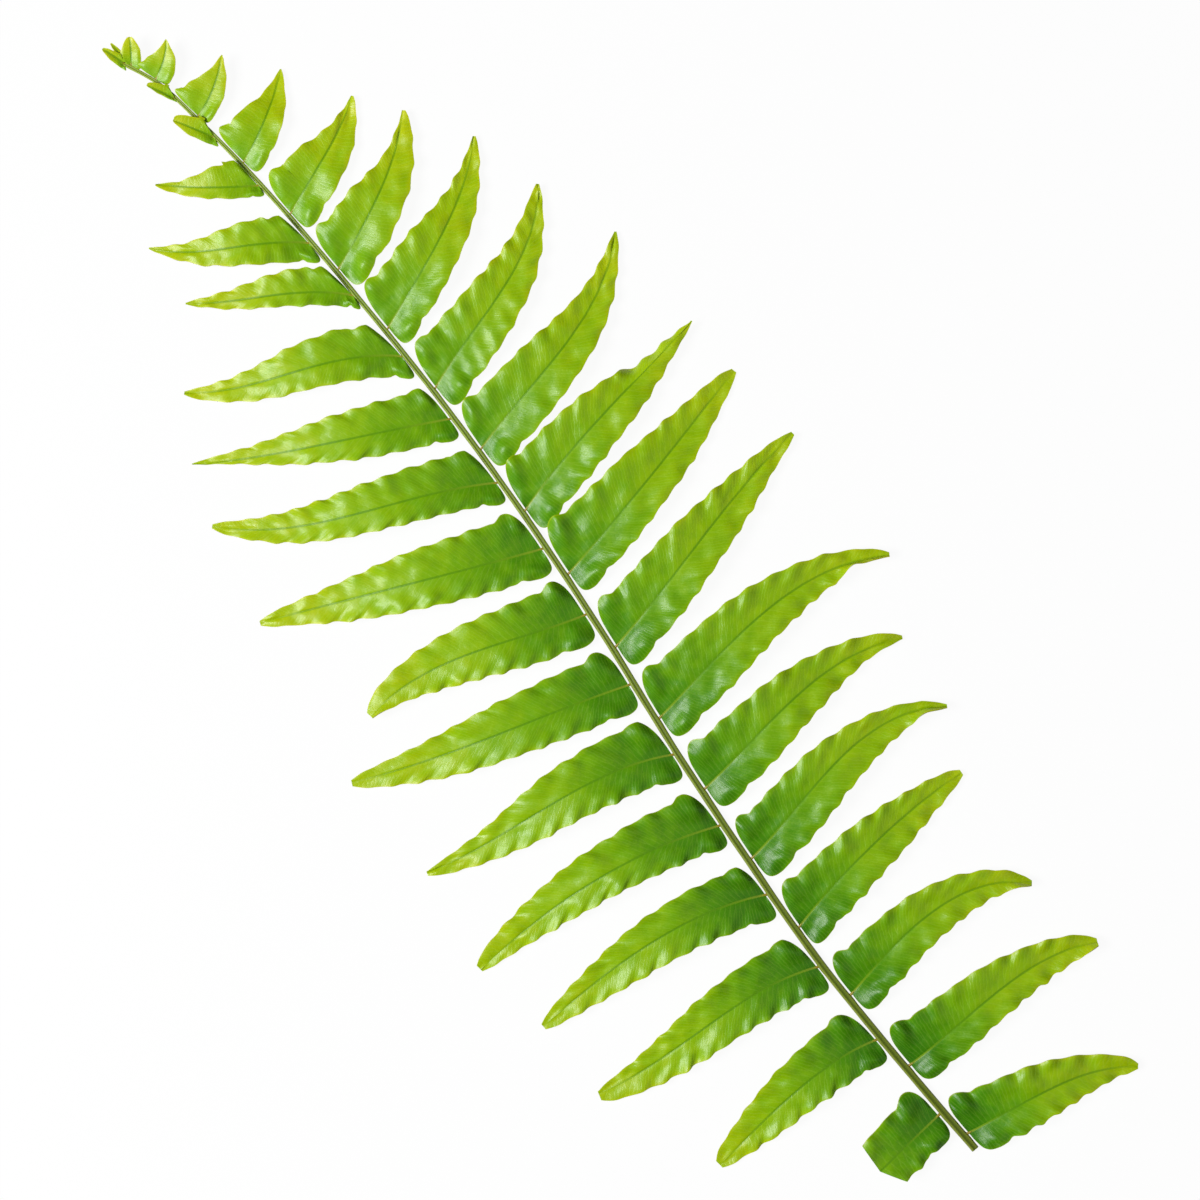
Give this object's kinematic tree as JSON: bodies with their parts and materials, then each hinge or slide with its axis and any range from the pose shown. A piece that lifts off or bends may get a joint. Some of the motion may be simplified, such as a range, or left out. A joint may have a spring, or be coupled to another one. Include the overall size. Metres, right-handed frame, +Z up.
{
  "type": "fern frond",
  "caption": "Cut end piece of a sword fern frond: a slender stem with wavy, eared leaflets standing alternately along both sides, shrinking to the tip.",
  "frame": {"origin": "bottom centre of the bounding box, on the surface the frond lies on", "axes": "+Y along the frond from the cut end of its stem to its tip, +Z up out of the leaf's upper face, +X to the right of the stem"},
  "size_m": [0.1164, 0.2888, 0.0055],
  "materials": {
    "leaf_green": "satin"
  },
  "bodies": {
    "root": {"frond": "leaf_green"}
  },
  "joints": []
}
